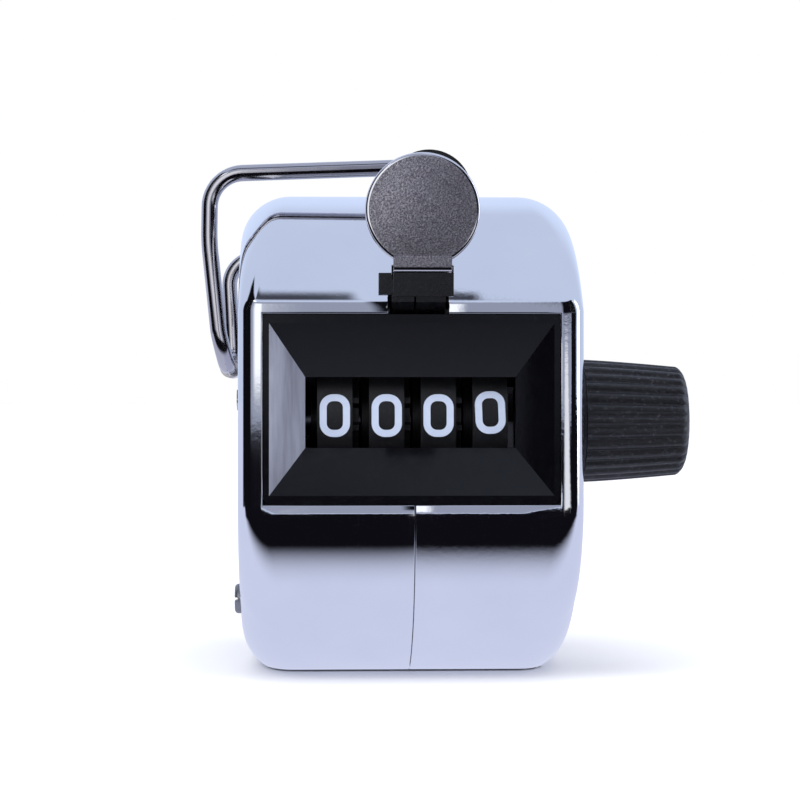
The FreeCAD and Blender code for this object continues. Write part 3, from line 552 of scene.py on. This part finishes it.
def digit_ring(name, mid_x, turn_degrees, tilt_degrees):
    """The ten digits printed round one wheel, with 0 at the front.

    turn_degrees is how far the 0 sits above the window's middle, tilt_degrees how far each digit leans.
    """
    points = []
    faces = []
    tilt = math.radians(tilt_degrees)
    for digit in range(10):
        middle = math.radians(turn_degrees - 36.0 * digit)
        for line, closed in strokes(digit):
            left, right = ribbon(line, closed)
            first = len(points)
            for pair in zip(left, right):
                for height in (PRINT_HEIGHT, -PRINT_HEIGHT):
                    for u, v in pair:
                        across = u * math.cos(tilt) - v * math.sin(tilt)
                        up = u * math.sin(tilt) + v * math.cos(tilt)
                        angle = middle + up / WHEEL_RADIUS
                        radius = WHEEL_RADIUS + height
                        points.append((mid_x + across, SHAFT_Y - radius * math.cos(angle),
                                       SHAFT_Z + radius * math.sin(angle)))
            count = len(left)
            last = count if closed else count - 1
            for index in range(last):
                here = first + 4 * index
                there = first + 4 * ((index + 1) % count)
                for low, high in ((0, 1), (1, 3), (3, 2), (2, 0)):
                    faces.append((here + low, here + high, there + high, there + low))
            if not closed:
                end = first + 4 * (count - 1)
                faces.append((first, first + 2, first + 3, first + 1))
                faces.append((end, end + 1, end + 3, end + 2))
    piece = mesh_object(name, points, faces, [DIGIT_PRINT])
    fix_normals(piece)
    smooth(piece, 35)
    return piece


def make_digits():
    """Print on all four wheels; the units wheel rests a little further on than the others."""
    for index, name in enumerate(WHEEL_NAMES):
        middle = THOUSANDS_X + index * WHEEL_PITCH
        turn, tilt = (5.2, 2.0) if name == "units" else (3.5, 0.0)
        ring = digit_ring(name + "_digits", middle, turn, tilt)
        settle(ring, name + "_wheel", "digit_print")


# ---------------------------------------------------------------- finger ring

RING_WIRE = 0.82 * MM


def rounded_route(points, radii, steps):
    """Closed route with an arc at each corner."""
    route = []
    count = len(points)
    for index, corner in enumerate(points):
        before = (points[index - 1] - corner).normalized()
        after = (points[(index + 1) % count] - corner).normalized()
        half = before.angle(after) / 2
        reach = radii[index] / math.tan(half)
        centre = corner + (before + after).normalized() * (radii[index] / math.sin(half))
        start = corner + before * reach - centre
        end = corner + after * reach - centre
        for step in range(steps + 1):
            share = step / steps
            whole = start.angle(end)
            arm = (start * math.sin((1 - share) * whole) + end * math.sin(share * whole)) / math.sin(whole)
            route.append(centre + arm)
    return route


def filled_route(route, longest):
    """The route with long runs divided."""
    filled = []
    for index, place in enumerate(route):
        following = route[(index + 1) % len(route)]
        pieces = max(1, round((following - place).length / longest))
        filled += [place.lerp(following, step / pieces) for step in range(pieces)]
    return filled


def wire_mesh(name, route, radius, around, material):
    """Round wire swept along a closed route.

    The last ring of points joins the first with a shift that takes up the twist gathered on the way.
    """
    count = len(route)
    points = []
    side = Vector((0, 0, 1))
    for index, place in enumerate(route):
        along = (route[(index + 1) % count] - route[index - 1]).normalized()
        side = (side - along * side.dot(along)).normalized()
        other = along.cross(side)
        for step in range(around):
            angle = 2 * math.pi * step / around
            points.append(place + (side * math.cos(angle) + other * math.sin(angle)) * radius)
    along = (route[1] - route[-1]).normalized()
    closing = (side - along * side.dot(along)).normalized()
    first = (points[0] - route[0]).normalized()
    twist = math.atan2(along.dot(first.cross(closing)), first.dot(closing))
    shift = round(twist / (2 * math.pi) * around)
    faces = []
    for index in range(count):
        following = (index + 1) % count
        slip = shift if following == 0 else 0
        for step in range(around):
            ahead = (step + 1) % around
            faces.append((index * around + step, index * around + ahead,
                          following * around + (ahead + slip) % around,
                          following * around + (step + slip) % around))
    piece = mesh_object(name, points, faces, [material])
    fix_normals(piece)
    smooth(piece, 60)
    return piece


def make_ring():
    """Wire loop: up from the hinge on the left wall, across the top, back, and down to the hinge again."""
    hinge_x = -18.0
    hinge_z = 30.7
    front_y = -7.5
    back_y = 16.0
    right_x = 3.0
    corners = [(hinge_x, front_y, hinge_z), (-18.75, front_y, 33.9), (-19.7, front_y, 43.0),
               (-19.6, front_y, 49.75), (right_x, front_y, 50.6), (right_x, 5.0, 50.2),
               (right_x, back_y, 45.2), (-18.6, back_y, 42.45), (hinge_x, back_y, hinge_z)]
    radii = [2.6, 6.0, 20.0, 3.4, 3.5, 8.0, 3.5, 3.0, 2.6]
    corner_steps = 12
    longest_run = 0.6 * MM
    route = rounded_route([Vector(corner) * MM for corner in corners], [r * MM for r in radii], corner_steps)
    ring = wire_mesh("finger_ring_wire", filled_route(route, longest_run), RING_WIRE, 20, RING_CHROME)
    settle(ring, "finger_ring", "ring_chrome", "finger_ring")


# ---------------------------------------------------------------- reset knob

def make_knob():
    """Fluted knob turned from its half section, with a plain collar at the wall."""
    start = KNOB_LOW.x
    end = KNOB_HIGH.x
    outer = KNOB_HIGH.z - SHAFT_Z
    tip = outer - 0.68 * MM
    collar = 5.6 * MM
    edge = 0.1 * MM
    inset = 0.02 * MM
    grip_start = 0.95 * MM
    round_radius = 1.25 * MM
    grip_steps = 12
    round_steps = 8
    flutes = 30
    per_flute = 12
    flute_depth = 0.30 * MM
    # each section point: x, radius, and how deep the flutes are there from 0 to 1
    section = [(start, 0.0, 0.0), (start, collar - edge, 0.0), (start + edge, collar, 0.0),
               (start + 0.72 * MM, collar, 0.0), (start + 0.8 * MM, collar + edge / 2, 0.0),
               (start + 0.84 * MM, outer - 0.12 * MM, 0.35), (start + grip_start, outer - inset, 1.0)]
    grip_end = end - round_radius
    for step in range(1, grip_steps + 1):
        share = step / grip_steps
        x = start + grip_start + (grip_end - start - grip_start) * share
        section.append((x, outer - inset + (tip - outer) * share ** 1.25, 1.0))
    for step in range(1, round_steps + 1):
        angle = math.radians(90 * step / round_steps)
        section.append((grip_end + round_radius * math.sin(angle) * 0.96,
                        tip - 1.5 * round_radius * (1 - math.cos(angle)), 1.0 - step / round_steps))
    section.append((end, tip * 0.3, 0.0))
    section.append((end, 0.0, 0.0))
    around = flutes * per_flute
    points = []
    faces = []
    for x, radius, share in section[1:-1]:
        for step in range(around):
            wave = 0.5 - 0.5 * math.cos(2 * math.pi * step / per_flute)
            r = radius - flute_depth * share * wave ** 1.6
            angle = 2 * math.pi * step / around
            points.append((x, SHAFT_Y + r * math.cos(angle), SHAFT_Z + r * math.sin(angle)))
    rows = len(section) - 2
    for row in range(rows - 1):
        for step in range(around):
            ahead = (step + 1) % around
            faces.append((row * around + step, row * around + ahead,
                          (row + 1) * around + ahead, (row + 1) * around + step))
    faces.append(tuple(range(around)))
    faces.append(tuple(range((rows - 1) * around, rows * around))[::-1])
    knob = mesh_object("reset_knob_fluted", points, faces, [KNOB_BLACK])
    fix_normals(knob)
    smooth(knob, 38)
    settle(knob, "reset_spindle", "knob_plastic", "reset_knob")


# ---------------------------------------------------------------- thumb pad

def make_pad():
    """Pressed round pad with a rolled rim, and a neck that folds over the black block.

    The pad, its neck and ears are left out of the chrome's reflections; finish_cad_nodes leaves the block out
    too.
    """
    radius = (PAD_HIGH.x - PAD_LOW.x) / 2
    mid_x = (PAD_HIGH.x + PAD_LOW.x) / 2
    mid_z = PAD_HIGH.z - radius
    make_pad_disc(radius, mid_x, mid_z)
    make_pad_neck(radius, mid_x, mid_z)


def make_pad_disc(radius, mid_x, mid_z):
    """Disc turned from its half section: a domed satin face, a rolled bright rim and a flat back."""
    front = PAD_LOW.y
    back = PAD_HIGH.y
    dome = 0.34 * MM
    roll = 0.34 * MM
    roll_steps = 8
    back_edge = 0.1 * MM
    around = 120
    face_kind = 0
    rim_kind = 1
    edge = radius - roll
    rim_y = front + dome - 0.03 * MM
    # each section point: radius, y, and the kind of surface that ends there
    section = [(edge * share, front + dome * share ** 2, face_kind)
               for share in (0.0, 0.2, 0.4, 0.6, 0.8, 0.93)]
    section.append((edge, rim_y, face_kind))
    for step in range(1, roll_steps + 1):
        angle = math.radians(90 * step / roll_steps)
        section.append((edge + roll * math.sin(angle), rim_y + roll * (1 - math.cos(angle)), rim_kind))
    section += [(radius, back - back_edge, rim_kind), (radius - back_edge, back, rim_kind),
                (radius - 0.5 * MM, back, rim_kind), (0.0, back - 0.05 * MM, rim_kind)]
    points = [(mid_x, section[0][1], mid_z), (mid_x, section[-1][1], mid_z)]
    for r, y, kind in section[1:-1]:
        for step in range(around):
            angle = 2 * math.pi * step / around
            points.append((mid_x + r * math.cos(angle), y, mid_z + r * math.sin(angle)))
    faces = []
    kinds = []
    rows = len(section) - 2
    for step in range(around):
        ahead = (step + 1) % around
        faces.append((0, 2 + step, 2 + ahead))
        kinds.append(face_kind)
        last = 2 + (rows - 1) * around
        faces.append((1, last + ahead, last + step))
        kinds.append(rim_kind)
        for row in range(rows - 1):
            here = 2 + row * around
            faces.append((here + step, here + around + step, here + around + ahead, here + ahead))
            kinds.append(section[row + 2][2])
    pad = mesh_object("thumb_pad_disc", points, faces, [PAD_FACE, RIM_CHROME])
    pad.data.polygons.foreach_set("material_index", kinds)
    fix_normals(pad)
    smooth(pad, 40)
    settle(pad, "thumb_lever", "pad_chrome", "thumb_pad")
    pad.visible_glossy = False


def make_pad_neck(radius, mid_x, mid_z):
    """Flat neck that bends back over the block, with an ear folded down at each side."""
    front = PAD_LOW.y
    half_width = 2.75 * MM
    block_top = HEAD_LOW.z + 2.2 * MM
    sheet = 0.35 * MM
    bend = 0.45 * MM
    gap = 0.05 * MM
    face_y = front + 0.22 * MM
    fold_highlight_top = block_top + 0.62 * MM
    path = [(front + 0.25 * MM, mid_z - radius * 0.80), (face_y, block_top + bend + 0.35 * MM)]
    corner = (face_y + bend, block_top + bend + gap)
    path += [(corner[0] - bend * math.cos(math.radians(a)), corner[1] - bend * math.sin(math.radians(a)))
             for a in range(0, 91, 15)]
    path.append((HEAD_HIGH.y - 0.15 * MM, block_top + gap))
    neck = strip("thumb_pad_neck", path, sheet, mid_x - half_width, mid_x + half_width,
                 [PAD_FACE, RIM_CHROME])
    # painted highlight: the faces of the bend below this height take the bright rim chrome and the flat neck
    # the darker satin, though the neck is one sheet
    for face in neck.data.polygons:
        face.material_index = 1 if face.center.z < fold_highlight_top else 0
    settle(neck, "thumb_lever", "pad_chrome")
    neck.visible_glossy = False
    ear_half = 0.16 * MM
    ear_sheet = 0.5 * MM
    ear_path = [(front + 0.5 * MM, block_top + 0.75 * MM), (front + 0.75 * MM, block_top - 0.9 * MM)]
    for side, name in ((-1, "left"), (1, "right")):
        x = mid_x + side * (half_width + 0.02 * MM)
        ear = strip("thumb_pad_ear_" + name, ear_path, ear_sheet, x - ear_half, x + ear_half, [RIM_CHROME])
        settle(ear, "thumb_lever", "pad_chrome")
        ear.visible_glossy = False


def strip(name, path, thickness, x0, x1, materials):
    """Sheet strip that follows a (y, z) path and is as wide as x0 to x1."""
    count = len(path)
    points = []
    for index, (y, z) in enumerate(path):
        before = path[max(index - 1, 0)]
        after = path[min(index + 1, count - 1)]
        along = Vector((after[0] - before[0], after[1] - before[1])).normalized()
        inner = (y - along.y * thickness, z + along.x * thickness)
        for x in (x0, x1):
            points.append((x, y, z))
            points.append((x, inner[0], inner[1]))
    faces = []
    for index in range(count - 1):
        here = 4 * index
        for low, high in ((0, 1), (1, 3), (3, 2), (2, 0)):
            faces.append((here + low, here + high, here + 4 + high, here + 4 + low))
    end = 4 * (count - 1)
    faces.append((0, 1, 3, 2))
    faces.append((end, end + 2, end + 3, end + 1))
    piece = mesh_object(name, points, faces, materials)
    fix_normals(piece)
    smooth(piece, 40)
    add_bevel(piece, 0.07 * MM, 2, 50)
    return piece


# ---------------------------------------------------------------- CAD nodes that stay

def finish_cad_nodes():
    """Materials and softened edges for the nodes that keep their CAD shape."""
    paint("window_bezel", BEZEL_BLACK)
    for node in ("lever_head", "lever_right_stem", "lever_left_stem"):
        paint(node, LEVER_BLACK)
        add_bevel(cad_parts[node], 0.14 * MM, 3)
    for node in ("case_screws", "drive_pawl", "detent_pawl", "drive_pawl_pin", "detent_pin"):
        paint(node, SCREW_STEEL)
    for node in ("units_ratchet", "pinion_shaft", "reset_shaft", "shaft_clip", "left_frame_plate",
                 "right_frame_plate", "case_posts", "frame_tie_rods", "lever_hub_arm", "lever_pivot_shaft",
                 "lever_return_spring", "detent_spring"):
        paint(node, STEEL)
    for node in ("ring_lug", "ring_lug_rivets"):
        paint(node, RING_CHROME)
        add_bevel(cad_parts[node], 0.08 * MM)
    for node in ("pinion_spacers", "shaft_bushes"):
        paint(node, BRASS)
    for name in WHEEL_NAMES:
        paint(name + "_wheel", WHEEL_BLACK)
        paint(name + "_reset_pawl", BRASS)
        if name != "units":
            paint(name + "_transfer_pinion", BRASS)
    add_bevel(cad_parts["window_bezel"], 0.06 * MM, 2, 25)
    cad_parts["lever_head"].visible_glossy = False


# ---------------------------------------------------------------- stage, lights and camera

FLOOR_HALF = 12.0


def glow_material(name, colour, strength, soft):
    """Light that fades out towards the card's left, right, lower and upper edges."""
    material = bpy.data.materials.new(name)
    material.use_nodes = True
    nodes = material.node_tree.nodes
    links = material.node_tree.links
    nodes.clear()
    glow = nodes.new("ShaderNodeEmission")
    glow.inputs["Color"].default_value = (*colour, 1.0)
    glow.inputs["Strength"].default_value = strength
    split = nodes.new("ShaderNodeSeparateXYZ")
    links.new(nodes.new("ShaderNodeTexCoord").outputs["UV"], split.inputs[0])
    mask = None
    left, right, lower, upper = soft
    for axis, start, end in ((0, 0.0, left), (0, 1.0, 1.0 - right), (1, 0.0, lower), (1, 1.0, 1.0 - upper)):
        fade = nodes.new("ShaderNodeMapRange")
        fade.interpolation_type = "SMOOTHSTEP"
        fade.inputs["From Min"].default_value = start
        fade.inputs["From Max"].default_value = end
        links.new(split.outputs[axis], fade.inputs["Value"])
        if mask:
            product = nodes.new("ShaderNodeMath")
            product.operation = "MULTIPLY"
            links.new(mask, product.inputs[0])
            links.new(fade.outputs["Result"], product.inputs[1])
            mask = product.outputs[0]
        else:
            mask = fade.outputs["Result"]
    mix = nodes.new("ShaderNodeMixShader")
    links.new(mask, mix.inputs[0])
    links.new(nodes.new("ShaderNodeBsdfTransparent").outputs[0], mix.inputs[1])
    links.new(glow.outputs[0], mix.inputs[2])
    output = nodes.new("ShaderNodeOutputMaterial")
    links.new(mix.outputs[0], output.inputs["Surface"])
    return material


def card(name, columns, material):
    """Card that only reflections see; each column is its (lower, upper) place."""
    points = [place for column in columns for place in column]
    faces = [(2 * index, 2 * index + 2, 2 * index + 3, 2 * index + 1) for index in range(len(columns) - 1)]
    piece = mesh_object(name, points, faces, [material])
    place = piece.data.uv_layers.new(name="card")
    last = len(columns) - 1
    for index in range(last):
        spots = ((index / last, 0), ((index + 1) / last, 0), ((index + 1) / last, 1), (index / last, 1))
        for corner, spot in enumerate(spots):
            place.data[4 * index + corner].uv = spot
    piece.visible_camera = False
    piece.visible_diffuse = False
    piece.visible_shadow = False
    piece.visible_transmission = False
    return piece


def upright(name, low_edge, high_edge, distance, colour, strength, soft):
    """Curved card between two edges, each (azimuth from, azimuth to, height); azimuth 0 is the front."""
    columns = []
    pieces = max(1, round((low_edge[1] - low_edge[0]) / 5))
    for index in range(pieces + 1):
        column = []
        for start, end, height in (low_edge, high_edge):
            azimuth = math.radians(start + (end - start) * index / pieces)
            column.append((distance * math.sin(azimuth), -distance * math.cos(azimuth), height))
        columns.append(column)
    return card(name, columns, glow_material(name, colour, strength, soft))


def at_elevation(distance, degrees):
    """Height at which a card of this distance is seen under an elevation."""
    case_middle = 0.030
    return case_middle + distance * math.tan(math.radians(degrees))


def make_floor_mirror():
    """What the chrome mirrors of the floor: pale near the case, dark further to the front."""
    dark = (0.005, 0.0045, 0.007, 1.0)
    pale = (0.675, 0.715, 0.90, 1.0)
    dark_until_y = -50 * MM
    pale_from_y = -24 * MM
    height = 0.2 * MM
    material = bpy.data.materials.new("floor_mirror")
    material.use_nodes = True
    nodes = material.node_tree.nodes
    links = material.node_tree.links
    nodes.clear()
    split = nodes.new("ShaderNodeSeparateXYZ")
    links.new(nodes.new("ShaderNodeTexCoord").outputs["Object"], split.inputs[0])
    fade = nodes.new("ShaderNodeMapRange")
    fade.interpolation_type = "SMOOTHSTEP"
    fade.inputs["From Min"].default_value = dark_until_y
    fade.inputs["From Max"].default_value = pale_from_y
    links.new(split.outputs[1], fade.inputs["Value"])
    glow = nodes.new("ShaderNodeEmission")
    tint = nodes.new("ShaderNodeMix")
    tint.data_type = "RGBA"
    tint.inputs[6].default_value = dark
    tint.inputs[7].default_value = pale
    links.new(fade.outputs["Result"], tint.inputs[0])
    links.new(tint.outputs[2], glow.inputs["Color"])
    output = nodes.new("ShaderNodeOutputMaterial")
    links.new(glow.outputs[0], output.inputs["Surface"])
    card("floor_mirror", [((-FLOOR_HALF, -FLOOR_HALF, height), (-FLOOR_HALF, FLOOR_HALF, height)),
                          ((FLOOR_HALF, -FLOOR_HALF, height), (FLOOR_HALF, FLOOR_HALF, height))], material)


def make_stage():
    """Pale floor, and the soft cards that stand for the studio in the chrome."""
    look = Look("pale_floor")
    look.colour(look.noise(30 * MM, 2.0), (0.90, 0.90, 0.91), (0.93, 0.93, 0.935))
    look.set(Roughness=0.9, Specular_IOR_Level=0.1)
    corners = [(-FLOOR_HALF, -FLOOR_HALF, 0), (FLOOR_HALF, -FLOOR_HALF, 0),
               (FLOOR_HALF, FLOOR_HALF, 0), (-FLOOR_HALF, FLOOR_HALF, 0)]
    floor = mesh_object("floor", corners, [(0, 1, 2, 3)], [look.material])
    make_floor_mirror()
    black = (0.004, 0.004, 0.006)
    near = 0.28
    right = 0.30
    far = 0.32
    hard = 0.01                     # the narrowest fade: with none the card vanishes
    upright("front_band", (-60, 50, 0.020), (-60, 50, at_elevation(far, 46)), far, (0.33, 0.355, 0.45), 1.0,
            (0.05, 0.05, hard, 0.08))
    upright("dark_strip", (-50, 14, at_elevation(near, 50)), (-50, 14, at_elevation(near, 72)), near,
            (0.06, 0.065, 0.085), 1.0, (0.1, 0.25, 0.3, 0.45))
    upright("bright_left", (-44, -2, 0.024), (-44, -2, at_elevation(near, 40)), near, (0.95, 0.97, 1.0), 1.25,
            (0.45, 0.15, 0.04, 0.2))
    upright("dark_left", (-98, -47, 0.0), (-98, -47, at_elevation(near, 60)), near, black, 1.0,
            (0.12, 0.1, hard, 0.1))
    upright("bright_right", (12, 52, 0.0), (17, 30, 0.045), near, (0.95, 0.96, 1.0), 0.9,
            (0.25, 0.30, hard, 0.30))
    upright("dark_right_high", (8, 76, 0.040), (8, 76, at_elevation(right, 50)), right, black, 1.0,
            (0.1, 0.08, 0.04, 0.15))
    upright("dark_right_low", (46, 76, 0.0), (46, 76, 0.050), right, black, 1.0, (0.1, 0.1, hard, hard))
    upright("side_light", (82, 98, 0.0), (82, 98, at_elevation(near, 40)), near, (0.80, 0.85, 1.0), 4.0,
            (0.2, 0.3, 0.1, 0.2))
    upright("pale_back", (125, 235, 0.0), (125, 235, at_elevation(near, 52)), near, (0.705, 0.813, 1.05), 1.0,
            (0.30, 0.30, 0.20, 0.45))


def make_world():
    """White for the camera, pale lavender in reflections and a weak neutral fill elsewhere."""
    world = bpy.data.worlds.new("soft_studio")
    bpy.context.scene.world = world
    world.use_nodes = True
    nodes = world.node_tree.nodes
    links = world.node_tree.links
    nodes.clear()
    path = nodes.new("ShaderNodeLightPath")
    shade = background(nodes, (0.40, 0.42, 0.48))
    for ray, colour in (("Is Glossy Ray", (0.605, 0.677, 0.86)), ("Is Camera Ray", (1.0, 1.0, 1.0))):
        mix = nodes.new("ShaderNodeMixShader")
        links.new(path.outputs[ray], mix.inputs[0])
        links.new(shade, mix.inputs[1])
        links.new(background(nodes, colour), mix.inputs[2])
        shade = mix.outputs[0]
    output = nodes.new("ShaderNodeOutputWorld")
    links.new(shade, output.inputs["Surface"])


def background(nodes, colour):
    """Shader output of an even background colour."""
    node = nodes.new("ShaderNodeBackground")
    node.inputs["Color"].default_value = (*colour, 1.0)
    return node.outputs[0]


def area_light(name, place, target, size, power):
    light = bpy.data.lights.new(name, "AREA")
    light.shape = "RECTANGLE"
    light.size = size[0]
    light.size_y = size[1]
    light.energy = power
    lamp = bpy.data.objects.new(name, light)
    lamp.location = place
    lamp.rotation_euler = (Vector(target) - Vector(place)).to_track_quat("-Z", "Y").to_euler()
    bpy.context.scene.collection.objects.link(lamp)
    return lamp


def sun_light(name, elevation, azimuth, strength, angle):
    """Even light over the whole floor, which the chrome doesn't mirror."""
    light = bpy.data.lights.new(name, "SUN")
    light.energy = strength
    light.angle = math.radians(angle)
    lamp = bpy.data.objects.new(name, light)
    level = math.radians(elevation)
    turn = math.radians(azimuth)
    towards = Vector((math.sin(turn) * math.cos(level), -math.cos(turn) * math.cos(level), math.sin(level)))
    lamp.rotation_euler = towards.to_track_quat("Z", "Y").to_euler()
    lamp.visible_glossy = False
    bpy.context.scene.collection.objects.link(lamp)


def make_lights():
    """An even sun for the floor and two soft boxes."""
    middle = (0.0, 0.0, 0.025)
    sun_light("soft_sun", 70, -10, 2.7, 70)
    area_light("key_left", (-0.35, -0.30, 0.30), middle, (0.25, 0.35), 0.7)
    area_light("fill_right", (0.40, -0.25, 0.25), middle, (0.25, 0.35), 0.6)


def make_camera():
    """Level with the window and a little to its left; the aim is a point of the window plane."""
    camera = bpy.data.cameras.new("photo_view")
    camera.sensor_width = 36.0
    camera.lens = 104.9
    camera.clip_start = 0.01
    camera.clip_end = 100.0
    eye = bpy.data.objects.new("photo_view", camera)
    bpy.context.scene.collection.objects.link(eye)
    azimuth = math.radians(-2.2)
    elevation = math.radians(0.0)
    distance = 0.220
    target = Vector((-1.15 * MM, FRONT_Y, 27.2 * MM))
    level = math.cos(elevation)
    back = Vector((math.sin(azimuth) * level, -math.cos(azimuth) * level, math.sin(elevation)))
    aim = (-back).to_track_quat("-Z", "Y").to_matrix().to_4x4()
    eye.matrix_world = Matrix.Translation(target + back * distance) @ aim
    bpy.context.scene.camera = eye


bpy.context.scene.view_settings.view_transform = "Standard"
make_camera()
make_case()
make_digits()
make_ring()
make_knob()
make_pad()
finish_cad_nodes()
make_stage()
make_world()
make_lights()
